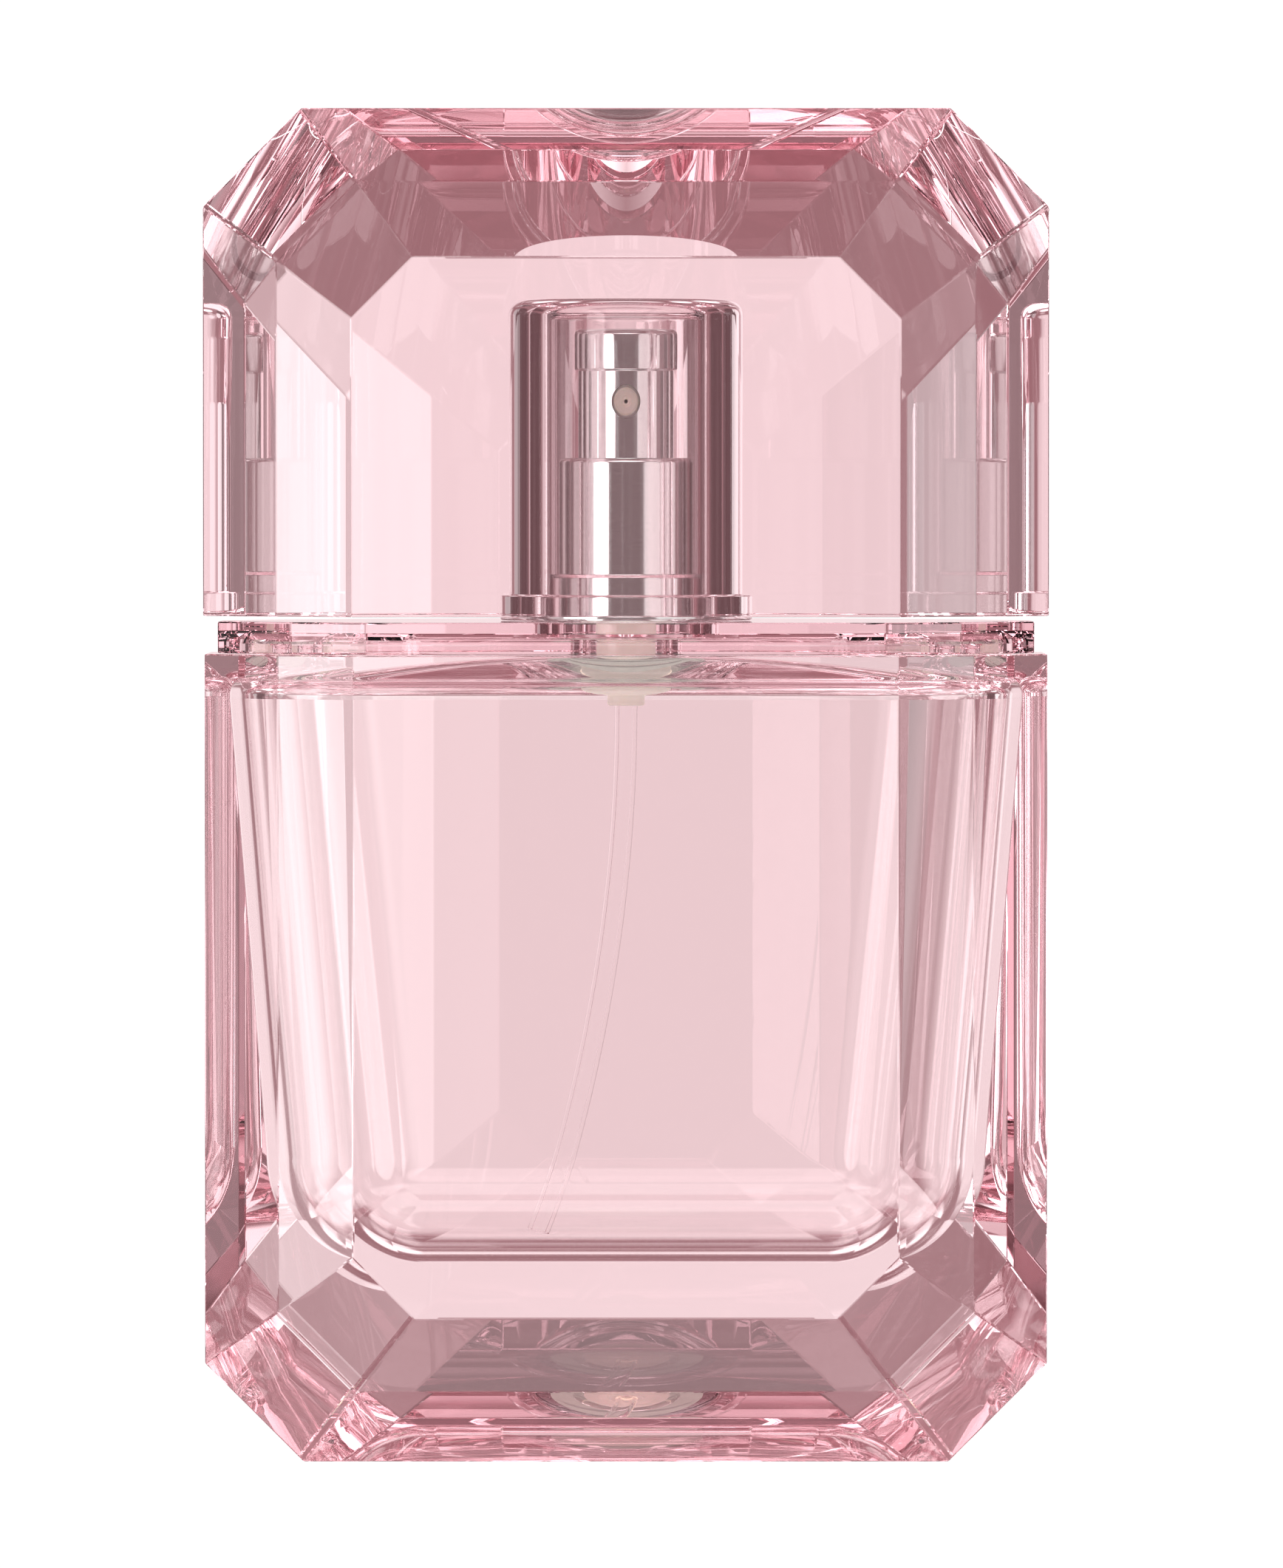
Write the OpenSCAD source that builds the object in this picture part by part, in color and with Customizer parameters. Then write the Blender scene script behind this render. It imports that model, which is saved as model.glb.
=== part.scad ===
// Step-cut spray bottle: a thick faceted glass body and a matching solid cap that hides a crimped
// fine-mist pump. The front faces -Y, +Z is up and the origin is the middle of the base.

/* [Outline] */
// Width of the octagonal outline across the flats
outline_w = 60; // [56:1:76]
// Height of the glass body below the parting plate
body_h = 57.4; // [46:0.2:72]
// Height of the cap
cap_h = 36; // [32:0.5:46]
// Leg of the outline's 45 degree corner cut
corner_leg = 7; // [6:0.25:9]
// How much the front corner cuts shrink for each millimetre of inset
front_taper = 0.25; // [0.15:0.01:0.27]
// How much the rear corner cuts shrink for each millimetre of inset
rear_taper = 0.17; // [0.1:0.01:0.27]
// How far the glass stands inside the cap's outline
body_inset = 0.1; // [0:0.05:0.3]

/* [Facets] */
// Thickness of the flat girdle round the middle
girdle_t = 10.4; // [9.2:0.2:14]
// How far the girdle's middle lies in front of the pump axis
girdle_forward = 2.1; // [1:0.1:3]
// Front step 1, inset from the outline
front_in_1 = 5.3; // [4:0.1:6]
// Front step 1, depth
front_drop_1 = 4.8; // [4.4:0.1:6]
// Front table, inset from the outline
front_in_2 = 10.7; // [9:0.1:12]
// Front step 2, depth
front_drop_2 = 3.6; // [3.2:0.1:5]
// Rear step 1, inset from the outline
rear_in_1 = 8.1; // [7:0.1:9]
// Rear step 1, depth
rear_drop_1 = 6.3; // [6:0.1:7.5]
// Rear step 2, inset from the outline
rear_in_2 = 16; // [14:0.1:17]
// Rear step 2, depth
rear_drop_2 = 4.3; // [4:0.1:5.4]
// Rear table, inset from the outline
rear_in_3 = 20.8; // [19:0.1:22]
// Rear step 3, depth
rear_drop_3 = 2; // [1.5:0.1:3]

/* [Cavity] */
// Thickness of the glass below the liquid
floor_t = 14.1; // [12:0.1:18]
// Thickness of the glass at each side of the liquid, at the shoulder
side_t = 4.7; // [4.4:0.1:9]
// How much thicker each side is at the foot of the cavity
side_draft = 3.4; // [0:0.1:6]
// Depth of the cavity, front to back
cavity_depth = 17; // [16:0.2:18]
// Radius of the cavity's lower corners
cavity_r = 7.5; // [6.5:0.1:7.9]
// Bevel round the cavity's shoulder
shoulder_r = 1.2; // [0.6:0.1:3]
// Glass left between the cavity's shoulder and the deck
deck_t = 1.8; // [1.6:0.1:4]
// Rise of the domed roof from the shoulder to the neck bore
dome_rise = 1.6; // [1:0.1:2]
// Distance of the liquid's surface below the deck
fill_drop = 3.2; // [3:0.1:8]
// Gap between the liquid and the glass
liquid_gap = 0.04; // [0.02:0.01:0.1]

/* [Shoulder] */
// Thickness of the parting plate
plate_t = 2.3; // [2.1:0.1:3.5]
// How far the plate stands inside the outline
plate_inset = 1; // [0.6:0.1:2]
// Gap between the plate and the cap
cap_gap = 0.4; // [0.2:0.1:1]
// How far the glass plateau under the plate stands inside the outline
plateau_inset = 4.25; // [3:0.05:4.5]
// Height of the glass plateau
plateau_h = 1.4; // [0.8:0.1:1.4]
// Clearance round the plateau and over it
plateau_gap = 0.1; // [0.05:0.01:0.2]
// Clearance between the plate's hole and the bead
plate_hole_gap = 0.15; // [0.1:0.05:0.3]

/* [Neck] */
// Outer diameter of the bead that the pump is crimped to
bead_d = 13; // [12.6:0.1:15.6]
// Height of the bead
bead_h = 2.8; // [2:0.1:3.4]
// Outer diameter of the neck below the bead
shank_d = 11.4; // [10.8:0.1:11.6]
// Height of the bead's underside above the plate
bead_rise = 2.9; // [2.2:0.1:4]
// Bore of the neck
neck_bore_d = 8; // [7.6:0.1:8.6]
// Thickness of the neck gasket
gasket_t = 0.7; // [0.4:0.1:1.2]
// Wall of the crimped ferrule
ferrule_wall = 0.25; // [0.2:0.05:0.35]
// Clearance between the ferrule and the bead
crimp_gap = 0.05; // [0.03:0.01:0.1]
// Height of the ferrule's turned-in lip
lip_h = 0.6; // [0.4:0.1:1]
// Wall of the polished collar
collar_wall = 0.25; // [0.2:0.05:0.4]
// Clearance between the collar and the ferrule
collar_gap = 0.05; // [0.03:0.01:0.1]
// Height of the collar above the plate
collar_h = 11.6; // [11.3:0.1:12.4]

/* [Pump] */
// Stroke of the pump
stroke = 3.5; // [3:0.1:3.7]
// Bore of the pump chamber
chamber_d = 4.7; // [4.5:0.1:5.6]
// Wall of the pump housing
housing_wall = 0.85; // [0.7:0.05:0.95]
// Thickness of the housing's flange
flange_t = 0.8; // [0.75:0.05:1]
// Depth of the chamber below the turret's seat
chamber_h = 9.2; // [9:0.1:11]
// Height of the housing's bowl below the chamber
bowl_h = 2.1; // [2:0.1:2.6]
// Length of the socket that grips the dip tube
socket_h = 1.2; // [1:0.1:5]
// Wall of the socket
socket_wall = 0.5; // [0.4:0.01:0.9]
// Running clearance of the piston and the stem, on the radius
running_gap = 0.05; // [0.03:0.01:0.08]
// Outer diameter of the stem
stem_d = 2.6; // [2.4:0.1:2.8]
// Bore of the stem
stem_bore_d = 1; // [0.8:0.1:1.2]
// Height of the piston
piston_h = 2; // [1.6:0.1:2.4]
// Thickness of the stem seal
seal_t = 0.5; // [0.3:0.1:0.6]
// Thickness of the turret's flange
turret_t = 0.7; // [0.5:0.05:0.7]
// How far the turret's boss stands out of the ferrule
turret_rise = 0.3; // [0.1:0.05:0.3]
// Diameter of the inlet ball
ball_d = 1.6; // [1.4:0.1:1.8]
// Bore of the inlet below the ball
inlet_d = 1; // [0.8:0.1:1.1]
// Clearance between the ball and its seat
ball_gap = 0.02; // [0.01:0.01:0.05]
// Wire of the return spring
wire_d = 0.36; // [0.3:0.02:0.4]
// Mean diameter of the return spring
spring_d = 3.5; // [3.2:0.1:3.7]
// Open turns of the return spring
open_turns = 5; // [4:1:6]
// Outer diameter of the dip tube
tube_d = 1.6; // [1.4:0.1:1.8]
// Wall of the dip tube
tube_wall = 0.3; // [0.2:0.05:0.4]
// Bend radius of the dip tube
tube_bend_r = 120; // [110:5:300]
// Height of the dip tube's end above the cavity's floor
tube_end_gap = 1.4; // [1:0.1:5]

/* [Actuator] */
// Outer diameter of the actuator's barrel
actuator_d = 10.1; // [8.4:0.1:12.2]
// How far the actuator's crown stands out of its barrel
crown_lip = 0.4; // [0.1:0.05:0.8]
// Height of the actuator
actuator_h = 9.6; // [9:0.1:12]
// Height of the crown
crown_h = 2.9; // [2:0.1:3.2]
// Wall of the actuator's shell
shell_wall = 0.3; // [0.25:0.05:0.4]
// Clearance between the shell and its core
core_gap = 0.03; // [0.02:0.01:0.05]
// Clearance between the actuator and the collar's rim
rim_gap = 0.25; // [0.2:0.05:0.4]
// Clearance left under the actuator at the end of its stroke
stop_gap = 0.2; // [0.1:0.05:0.3]
// Height of the nozzle above the actuator's lower edge
nozzle_rise = 4.46; // [4.2:0.02:5.2]
// Diameter of the nozzle insert
nozzle_d = 2; // [1.6:0.1:2.2]
// Width of the groove round the nozzle
nozzle_groove = 0.2; // [0.1:0.05:0.3]
// Depth of the nozzle insert
nozzle_depth = 1.9; // [1.4:0.1:2.2]
// Orifice of the nozzle
orifice_d = 0.3; // [0.2:0.05:0.4]

/* [Cap] */
// Clearance between the collar and the liner's grip
grip_gap = 0.05; // [0.03:0.01:0.08]
// Height of the liner's grip above the plate
grip_h = 3.2; // [2.4:0.1:5]
// Relief of the liner's bore above the grip, on the radius
liner_relief = 0.45; // [0.3:0.05:0.8]
// Wall of the liner above the grip
liner_wall = 0.7; // [0.5:0.05:1]
// Thickness of the liner's roof
roof_t = 1; // [0.7:0.1:1.5]
// Radius of the liner's upper edge
liner_edge_r = 1.2; // [0.6:0.1:1.4]
// Clearance between the actuator and the liner's roof
roof_gap = 1.1; // [0.6:0.1:2]
// Clearance between the liner and the cap
liner_gap = 0.05; // [0.02:0.01:0.1]
// Width of the liner's flange outside its wall
liner_flange_w = 0.7; // [0.4:0.1:1.5]
// Height of the liner's flange inside the cap
liner_flange_h = 1.4; // [1:0.1:2]

/* [Hidden] */

eps = 0.01;
round_fn = 96;
hull_fn = 32;

// Heights, from the base up
deck_z = body_h;
plate_top = deck_z + plate_t;
cap_z = plate_top + cap_gap;
total_h = cap_z + cap_h;
bead_z = plate_top + bead_rise;
bead_top = bead_z + bead_h;
gasket_top = bead_top + gasket_t;
flange_top = gasket_top + flange_t;
ferrule_top = flange_top + ferrule_wall;
collar_top = plate_top + collar_h;
actuator_z = ferrule_top + stroke + stop_gap;
actuator_top = actuator_z + actuator_h;
nozzle_z = actuator_z + nozzle_rise;
roof_z = actuator_top + roof_gap;
liner_top = roof_z + roof_t;

// Girdle and tables, along Y
girdle_front = -girdle_forward - girdle_t / 2;
girdle_rear = -girdle_forward + girdle_t / 2;
front_steps = [[front_in_2, front_drop_1 + front_drop_2], [front_in_1, front_drop_1], [0, 0]];
rear_steps = [
    [0, 0],
    [rear_in_1, rear_drop_1],
    [rear_in_2, rear_drop_1 + rear_drop_2],
    [rear_in_3, rear_drop_1 + rear_drop_2 + rear_drop_3]
];

// Radii round the neck, from the glass out
bead_r = bead_d / 2;
shank_r = shank_d / 2;
ferrule_in_r = bead_r + crimp_gap;
ferrule_r = ferrule_in_r + ferrule_wall;
collar_in_r = ferrule_r + collar_gap;
collar_r = collar_in_r + collar_wall;
grip_r = collar_r + grip_gap;
liner_in_r = grip_r + liner_relief;
liner_r = liner_in_r + liner_wall;
liner_flange_r = liner_r + liner_flange_w;
plate_hole_r = bead_r + plate_hole_gap;

// Pump, from the turret's seat down
stem_r = stem_d / 2;
chamber_r = chamber_d / 2;
housing_r = chamber_r + housing_wall;
seat_z = flange_top - turret_t;
chamber_z = seat_z - chamber_h;
bowl_z = chamber_z - bowl_h;
socket_z = bowl_z - socket_h;
turret_r = chamber_r + 0.45;
turret_boss_r = stem_r + 0.8;
hole_gap = 0.1;
seal_gap = 0.03;
piston_top = seat_z - seal_t - 0.1;
piston_z = piston_top - piston_h;
piston_web = 0.9;
pin_head_t = 0.4;
pin_head_r = spring_d / 2 + wire_d / 2;
pin_r = 0.75;
pin_gap = 0.05;
pin_tail = 1.8;
pin_z = piston_z - pin_head_t;
stem_z = piston_z + piston_web;
stem_socket_gap = 0.02;

// Inlet valve: the ball sits on a cone between the cage and the inlet
ball_r = ball_d / 2;
cage_r = ball_r + 0.15;
inlet_r = inlet_d / 2;
cone_top = chamber_z - 1.1;
cone_h = 0.6;
cone_z = cone_top - cone_h;
cone_angle = atan((cage_r - inlet_r) / cone_h);
ball_z = cone_z + (ball_r + ball_gap - inlet_r * cos(cone_angle)) / sin(cone_angle);

// Dip tube: straight and a touch fatter in its socket, then one long bend down to its end
tube_r = tube_d / 2;
tube_gap = 0.02;
tube_swell = 0.01;
tube_neck = 0.2;
tube_top = bowl_z - 0.3;
tube_drop = socket_z - floor_t - tube_end_gap;
tube_angle = asin(tube_drop / tube_bend_r);

// Actuator
core_r = actuator_d / 2 - shell_wall - core_gap;
core_z = actuator_z + 0.3;
core_top = actuator_top - shell_wall - core_gap;
stem_top = nozzle_z - 0.8;
duct_r = 0.5;
nozzle_face = -(actuator_d / 2 - 0.1);
nozzle_back = nozzle_face + nozzle_depth;

// One ring of the cut stone: eight corners at inset d and depth y, each side moved in by inset
function ring(d, y, inset, taper) =
    let (
        x = outline_w / 2 - inset - d,
        low = d,
        high = total_h - d,
        c = corner_leg - taper * d
    )
    [
        [-x + c, y, low], [x - c, y, low], [x, y, low + c], [x, y, high - c],
        [x - c, y, high], [-x + c, y, high], [-x, y, high - c], [-x, y, low + c]
    ];
function stone_rings(inset) = concat(
    [for (s = front_steps) ring(s[0], girdle_front - s[1] + inset, inset, front_taper)],
    [for (s = rear_steps) ring(s[0], girdle_rear + s[1] - inset, inset, rear_taper)]
);

// The whole cut stone, which the body, the plate and the cap are slices of
module stone(inset) {
    rings = stone_rings(inset);
    last = len(rings) - 1;
    polyhedron(
        points = [for (r = rings) each r],
        faces = concat(
            [[for (i = [7:-1:0]) i]],
            [for (k = [0:last - 1], i = [0:7])
                [8 * k + i, 8 * k + (i + 1) % 8, 8 * k + 8 + (i + 1) % 8, 8 * k + 8 + i]],
            [[for (i = [0:7]) 8 * last + i]]
        )
    );
}

// A slice of the stone between two heights
module slice(low, high, inset) {
    side = outline_w + 20;
    intersection() {
        stone(inset);
        translate([-side / 2, -side / 2, low]) cube([side, side, high - low]);
    }
}

module ring_wall(r_in, r_out, z, h) {
    rotate_extrude($fn = round_fn) translate([r_in, z]) square([r_out - r_in, h]);
}

// The hollow in the glass, shrunk by gap: round lower corners, sides that lean out to a bevelled
// shoulder, and a low domed roof
module cavity(gap) {
    half_w = outline_w / 2 - body_inset - side_t;
    foot_w = half_w - side_draft;
    half_d = cavity_depth / 2;
    corner_r = min(cavity_r, half_d - eps);
    shoulder_z = deck_z - deck_t;
    hull() {
        for (x = [-1, 1], y = [-1, 1]) {
            translate([x * (foot_w - corner_r), y * (half_d - corner_r), floor_t + corner_r])
                sphere(r = corner_r - gap, $fn = hull_fn);
            translate([x * (half_w - corner_r), y * (half_d - corner_r), shoulder_z - shoulder_r])
                cylinder(r1 = corner_r - gap, r2 = corner_r - shoulder_r - gap,
                    h = shoulder_r - gap, $fn = hull_fn);
        }
        translate([0, 0, shoulder_z])
            cylinder(r = neck_bore_d / 2 - gap, h = dome_rise - gap, $fn = hull_fn);
    }
}

module glass_bottle() {
    color("lightpink", 0.4) difference() {
        union() {
            slice(-1, deck_z, body_inset);
            slice(deck_z - eps, deck_z + plateau_h, plateau_inset);
            translate([0, 0, deck_z]) cylinder(r = shank_r, h = bead_top - deck_z, $fn = round_fn);
            translate([0, 0, bead_z]) cylinder(r = bead_r, h = bead_h, $fn = round_fn);
        }
        cavity(0);
        translate([0, 0, deck_z - deck_t])
            cylinder(d = neck_bore_d, h = bead_top - deck_z + deck_t + 1, $fn = round_fn);
    }
}

module perfume_liquid() {
    side = outline_w + 20;
    color("mistyrose", 0.5) difference() {
        intersection() {
            cavity(liquid_gap);
            translate([-side / 2, -side / 2, 0]) cube([side, side, deck_z - fill_drop]);
        }
        translate([0, 0, socket_z - liquid_gap])
            cylinder(r = housing_r + liquid_gap, h = bead_top - socket_z, $fn = round_fn);
        tube_bend(tube_r + liquid_gap, 0);
    }
}

module shoulder_plate() {
    color("palevioletred", 0.5) difference() {
        slice(deck_z, plate_top, plate_inset);
        slice(deck_z - 1, deck_z + plateau_h + plateau_gap, plateau_inset - plateau_gap);
        translate([0, 0, deck_z - 1]) cylinder(r = plate_hole_r, h = plate_t + 2, $fn = round_fn);
    }
}

module neck_gasket() {
    color("white") ring_wall(housing_r + hole_gap, bead_r - hole_gap, bead_top, gasket_t);
}

module crimp_ferrule() {
    lip_top = bead_z - hole_gap;
    hole_r = turret_boss_r + hole_gap;
    color("silver") rotate_extrude($fn = round_fn) polygon([
        [hole_r, flange_top], [ferrule_in_r, flange_top], [ferrule_in_r, lip_top],
        [shank_r + hole_gap, lip_top], [shank_r + hole_gap, lip_top - lip_h],
        [ferrule_r, lip_top - lip_h], [ferrule_r, ferrule_top], [hole_r, ferrule_top]
    ]);
}

module ferrule_collar() {
    rim_r = actuator_d / 2 + rim_gap;
    color("gainsboro") rotate_extrude($fn = round_fn) polygon([
        [collar_in_r, plate_top], [collar_r, plate_top], [collar_r, collar_top],
        [rim_r, collar_top], [rim_r, collar_top - collar_wall], [collar_in_r, collar_top - collar_wall]
    ]);
}

module pump_housing() {
    flange_r = bead_r - hole_gap;
    socket_r = tube_r + tube_gap;
    tail_r = socket_r + socket_wall;
    color("ivory") rotate_extrude($fn = round_fn) polygon([
        [turret_r + running_gap, flange_top], [flange_r, flange_top], [flange_r, gasket_top],
        [housing_r, gasket_top], [housing_r, chamber_z], [housing_r * 0.88, chamber_z - bowl_h * 0.5],
        [housing_r * 0.66, chamber_z - bowl_h * 0.85], [tail_r, bowl_z], [tail_r, socket_z],
        [socket_r, socket_z], [socket_r, tube_top], [inlet_r, tube_top],
        [inlet_r, cone_z], [cage_r, cone_top], [cage_r, chamber_z], [chamber_r, chamber_z],
        [chamber_r, seat_z], [turret_r + running_gap, seat_z]
    ]);
}

module pump_turret() {
    bore_r = stem_r + running_gap;
    color("white") {
        rotate_extrude($fn = round_fn) polygon([
            [bore_r, seat_z], [turret_r, seat_z], [turret_r, flange_top],
            [turret_boss_r, flange_top], [turret_boss_r, ferrule_top + turret_rise],
            [bore_r, ferrule_top + turret_rise]
        ]);
    }
}

module stem_seal() {
    color("dimgray") ring_wall(stem_r + seal_gap, chamber_r - seal_gap, seat_z - seal_t, seal_t);
}

module inlet_ball() {
    color("lightgray") translate([0, 0, ball_z]) sphere(r = ball_r, $fn = round_fn);
}

// The bent part of the dip tube, in the XZ plane and leaning towards -X
module tube_bend(r_out, r_in) {
    translate([-tube_bend_r, 0, socket_z]) rotate([90, 0, 0]) rotate([0, 0, -tube_angle])
        rotate_extrude(angle = tube_angle, $fn = 180) translate([tube_bend_r, 0]) difference() {
            circle(r = r_out, $fn = round_fn / 2);
            if (r_in > 0) circle(r = r_in, $fn = round_fn / 2);
        }
}

module dip_tube() {
    color("whitesmoke") {
        tube_bend(tube_r, tube_r - tube_wall);
        ring_wall(
            tube_r - tube_wall - tube_swell,
            tube_r + tube_swell,
            socket_z - tube_neck,
            tube_top - socket_z + tube_neck
        );
    }
}

module pump_stem() {
    color("white") ring_wall(stem_bore_d / 2, stem_r, stem_z, stem_top - stem_z);
}

module pump_piston() {
    color("white") rotate_extrude($fn = round_fn) polygon([
        [pin_r + pin_gap, piston_z], [chamber_r - running_gap, piston_z],
        [chamber_r - running_gap, piston_top], [stem_r + stem_socket_gap, piston_top],
        [stem_r + stem_socket_gap, stem_z], [pin_r + pin_gap, stem_z]
    ]);
}

module piston_pin() {
    color("lightgray") {
        translate([0, 0, pin_z]) cylinder(r = pin_head_r, h = pin_head_t, $fn = round_fn);
        translate([0, 0, pin_z - pin_tail])
            cylinder(r = pin_r, h = pin_tail + pin_head_t + piston_web - 0.1, $fn = round_fn);
    }
}

// Height of the spring's wire after t turns: one closed turn at each end, open turns between
function wire_z(t) =
    let (
        closed = wire_d * 1.05,
        length = pin_z - chamber_z - wire_d,
        pitch = (length - 2 * closed) / open_turns
    )
    t < 1 ? closed * t : t < 1 + open_turns ? closed + pitch * (t - 1)
        : closed + pitch * open_turns + closed * (t - 1 - open_turns);

module return_spring() {
    per_turn = 16;
    sides = 8;
    rings = per_turn * (open_turns + 2);
    points = [for (k = [0:rings], i = [0:sides - 1])
        let (
            a = 360 * k / per_turn,
            b = 360 * i / sides,
            r = spring_d / 2 + wire_d / 2 * cos(b)
        )
        [r * cos(a), r * sin(a), chamber_z + wire_d / 2 + wire_z(k / per_turn) + wire_d / 2 * sin(b)]];
    walls = [for (k = [0:rings - 1], i = [0:sides - 1])
        let (j = (i + 1) % sides)
        [sides * k + i, sides * k + j, sides * k + sides + j, sides * k + sides + i]];
    color("silver") polyhedron(
        points = points,
        faces = concat(
            [[for (i = [sides - 1:-1:0]) i]],
            walls,
            [[for (i = [0:sides - 1]) sides * rings + i]]
        )
    );
}

module actuator_shell() {
    color("gainsboro") difference() {
        union() {
            translate([0, 0, actuator_z]) cylinder(d = actuator_d, h = actuator_h, $fn = round_fn);
            translate([0, 0, actuator_top - crown_h])
                cylinder(r = actuator_d / 2 + crown_lip, h = crown_h, $fn = round_fn);
        }
        translate([0, 0, actuator_z - 1])
            cylinder(d = actuator_d - 2 * shell_wall, h = actuator_h + 1 - shell_wall, $fn = round_fn);
        translate([0, 0, nozzle_z]) rotate([90, 0, 0])
            cylinder(d = nozzle_d + 2 * nozzle_groove, h = actuator_d, $fn = round_fn);
    }
}

module actuator_core() {
    pocket_r = nozzle_d / 2 + stem_socket_gap;
    color("whitesmoke") difference() {
        translate([0, 0, core_z]) cylinder(r = core_r, h = core_top - core_z, $fn = round_fn);
        translate([0, 0, core_z - 1])
            cylinder(r = stem_r + stem_socket_gap, h = stem_top - core_z + 1, $fn = round_fn);
        translate([0, 0, stem_top - 1])
            cylinder(r = duct_r, h = nozzle_z - stem_top + 1 + duct_r, $fn = round_fn);
        translate([0, 0, nozzle_z]) rotate([90, 0, 0]) {
            cylinder(r = duct_r, h = -nozzle_back + 1, $fn = round_fn);
            translate([0, 0, -nozzle_back]) cylinder(r = pocket_r, h = 10, $fn = round_fn);
        }
    }
}

module nozzle_insert() {
    lip = 0.5;
    color("cornsilk") translate([0, 0, nozzle_z]) rotate([90, 0, 0]) difference() {
        translate([0, 0, -nozzle_back]) cylinder(d = nozzle_d, h = nozzle_depth, $fn = round_fn);
        translate([0, 0, -nozzle_back - 1])
            cylinder(d = nozzle_d - 0.8, h = nozzle_depth + 1 - lip, $fn = round_fn);
        translate([0, 0, -nozzle_back]) cylinder(d = orifice_d, h = nozzle_depth + 1, $fn = round_fn);
    }
}

// Outline of the liner's outside, grown by gap: a flange, a wall and a roof with a round edge
module liner_outline(gap, low) {
    r = liner_r + gap;
    top = liner_top + gap;
    edge = liner_edge_r;
    union() {
        translate([0, low]) square([liner_flange_r + gap, cap_z + liner_flange_h + gap - low]);
        translate([0, low]) square([r, top - edge - low]);
        translate([0, top - edge - eps]) square([r - edge, edge + eps]);
        intersection() {
            translate([r - edge, top - edge]) circle(r = edge, $fn = 48);
            translate([r - edge - eps, top - edge - eps]) square([edge + 1, edge + 1]);
        }
    }
}

module cap_shell() {
    color("pink", 0.4) difference() {
        slice(cap_z, total_h + 1, 0);
        rotate_extrude($fn = round_fn) liner_outline(liner_gap, cap_z - 1);
    }
}

module cap_liner() {
    color("white", 0.4) rotate_extrude($fn = round_fn) difference() {
        liner_outline(0, plate_top);
        translate([0, plate_top - 1]) square([grip_r, roof_z - plate_top]);
        translate([0, plate_top + grip_h]) square([liner_in_r, roof_z - plate_top - grip_h]);
    }
}

glass_bottle();
perfume_liquid();
shoulder_plate();
neck_gasket();
crimp_ferrule();
ferrule_collar();
pump_housing();
pump_turret();
stem_seal();
inlet_ball();
dip_tube();
pump_stem();
pump_piston();
piston_pin();
return_spring();
actuator_shell();
actuator_core();
nozzle_insert();
cap_shell();
cap_liner();
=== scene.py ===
import math

import bmesh
import bpy
import numpy as np
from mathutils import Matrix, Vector


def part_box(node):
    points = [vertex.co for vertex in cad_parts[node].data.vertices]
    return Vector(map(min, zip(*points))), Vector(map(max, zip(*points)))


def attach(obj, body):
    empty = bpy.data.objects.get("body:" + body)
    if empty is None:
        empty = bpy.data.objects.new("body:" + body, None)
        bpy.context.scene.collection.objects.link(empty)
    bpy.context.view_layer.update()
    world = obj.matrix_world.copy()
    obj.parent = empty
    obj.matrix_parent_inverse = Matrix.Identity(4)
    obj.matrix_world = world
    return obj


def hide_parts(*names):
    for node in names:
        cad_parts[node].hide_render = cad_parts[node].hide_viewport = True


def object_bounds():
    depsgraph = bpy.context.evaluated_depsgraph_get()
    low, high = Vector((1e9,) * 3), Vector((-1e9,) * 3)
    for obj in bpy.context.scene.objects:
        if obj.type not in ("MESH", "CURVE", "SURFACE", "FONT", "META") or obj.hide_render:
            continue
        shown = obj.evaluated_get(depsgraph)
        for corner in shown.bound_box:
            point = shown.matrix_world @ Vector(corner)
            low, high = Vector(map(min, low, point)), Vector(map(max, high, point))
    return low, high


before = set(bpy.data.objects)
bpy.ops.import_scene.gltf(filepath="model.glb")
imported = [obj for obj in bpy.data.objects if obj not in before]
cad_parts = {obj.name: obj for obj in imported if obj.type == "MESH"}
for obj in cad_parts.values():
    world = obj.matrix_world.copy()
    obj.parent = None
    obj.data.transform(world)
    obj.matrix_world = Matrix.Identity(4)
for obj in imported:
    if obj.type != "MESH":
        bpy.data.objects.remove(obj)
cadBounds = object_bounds()
scene = bpy.context.scene
mm = 0.001
overshoot = 1 * mm  # how far a block that joins or cuts another runs past the face it meets
print("frame loaded:", len(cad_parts), "nodes")


# shared helpers: places, meshes, materials

def corners(node):
    # lowest and highest corner of a CAD node, in metres
    low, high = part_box(node)
    return np.array(low), np.array(high)


def linearColour(hexColour, alpha=1.0):
    # sRGB hex to linear: below 0.04045 divide by 12.92, above it the 2.4 power curve
    raw = np.array([int(hexColour[i:i + 2], 16) / 255 for i in (1, 3, 5)])
    lin = np.where(raw <= 0.04045, raw / 12.92, ((raw + 0.055) / 1.055) ** 2.4)
    return (*[float(v) for v in lin], alpha)


def addNode(tree, kind, settings=None, links=None):
    # one node with its settings; a link is {input name: (node, output name)}
    node = tree.nodes.new(kind)
    for key, value in (settings or {}).items():
        if key in node.inputs:
            node.inputs[key].default_value = value
        else:
            setattr(node, key, value)
    for key, (source, output) in (links or {}).items():
        tree.links.new(source.outputs[output], node.inputs[key])
    return node


def blankMaterial(name):
    # a material with an empty node tree
    made = bpy.data.materials.new(name)
    made.use_nodes = True
    made.node_tree.nodes.clear()
    return made, made.node_tree


def gridFaces(rows, columns, wrapRows=False):
    # quads of a grid whose columns close on themselves: row r, column c joins its next neighbours
    r = np.arange(rows if wrapRows else rows - 1)[:, None]
    c = np.arange(columns)[None, :]
    r2, c2 = (r + 1) % rows, (c + 1) % columns
    quad = [r * columns + c, r * columns + c2, r2 * columns + c2, r2 * columns + c]
    return np.stack(np.broadcast_arrays(*quad), axis=-1).reshape(-1, 4)


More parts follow.
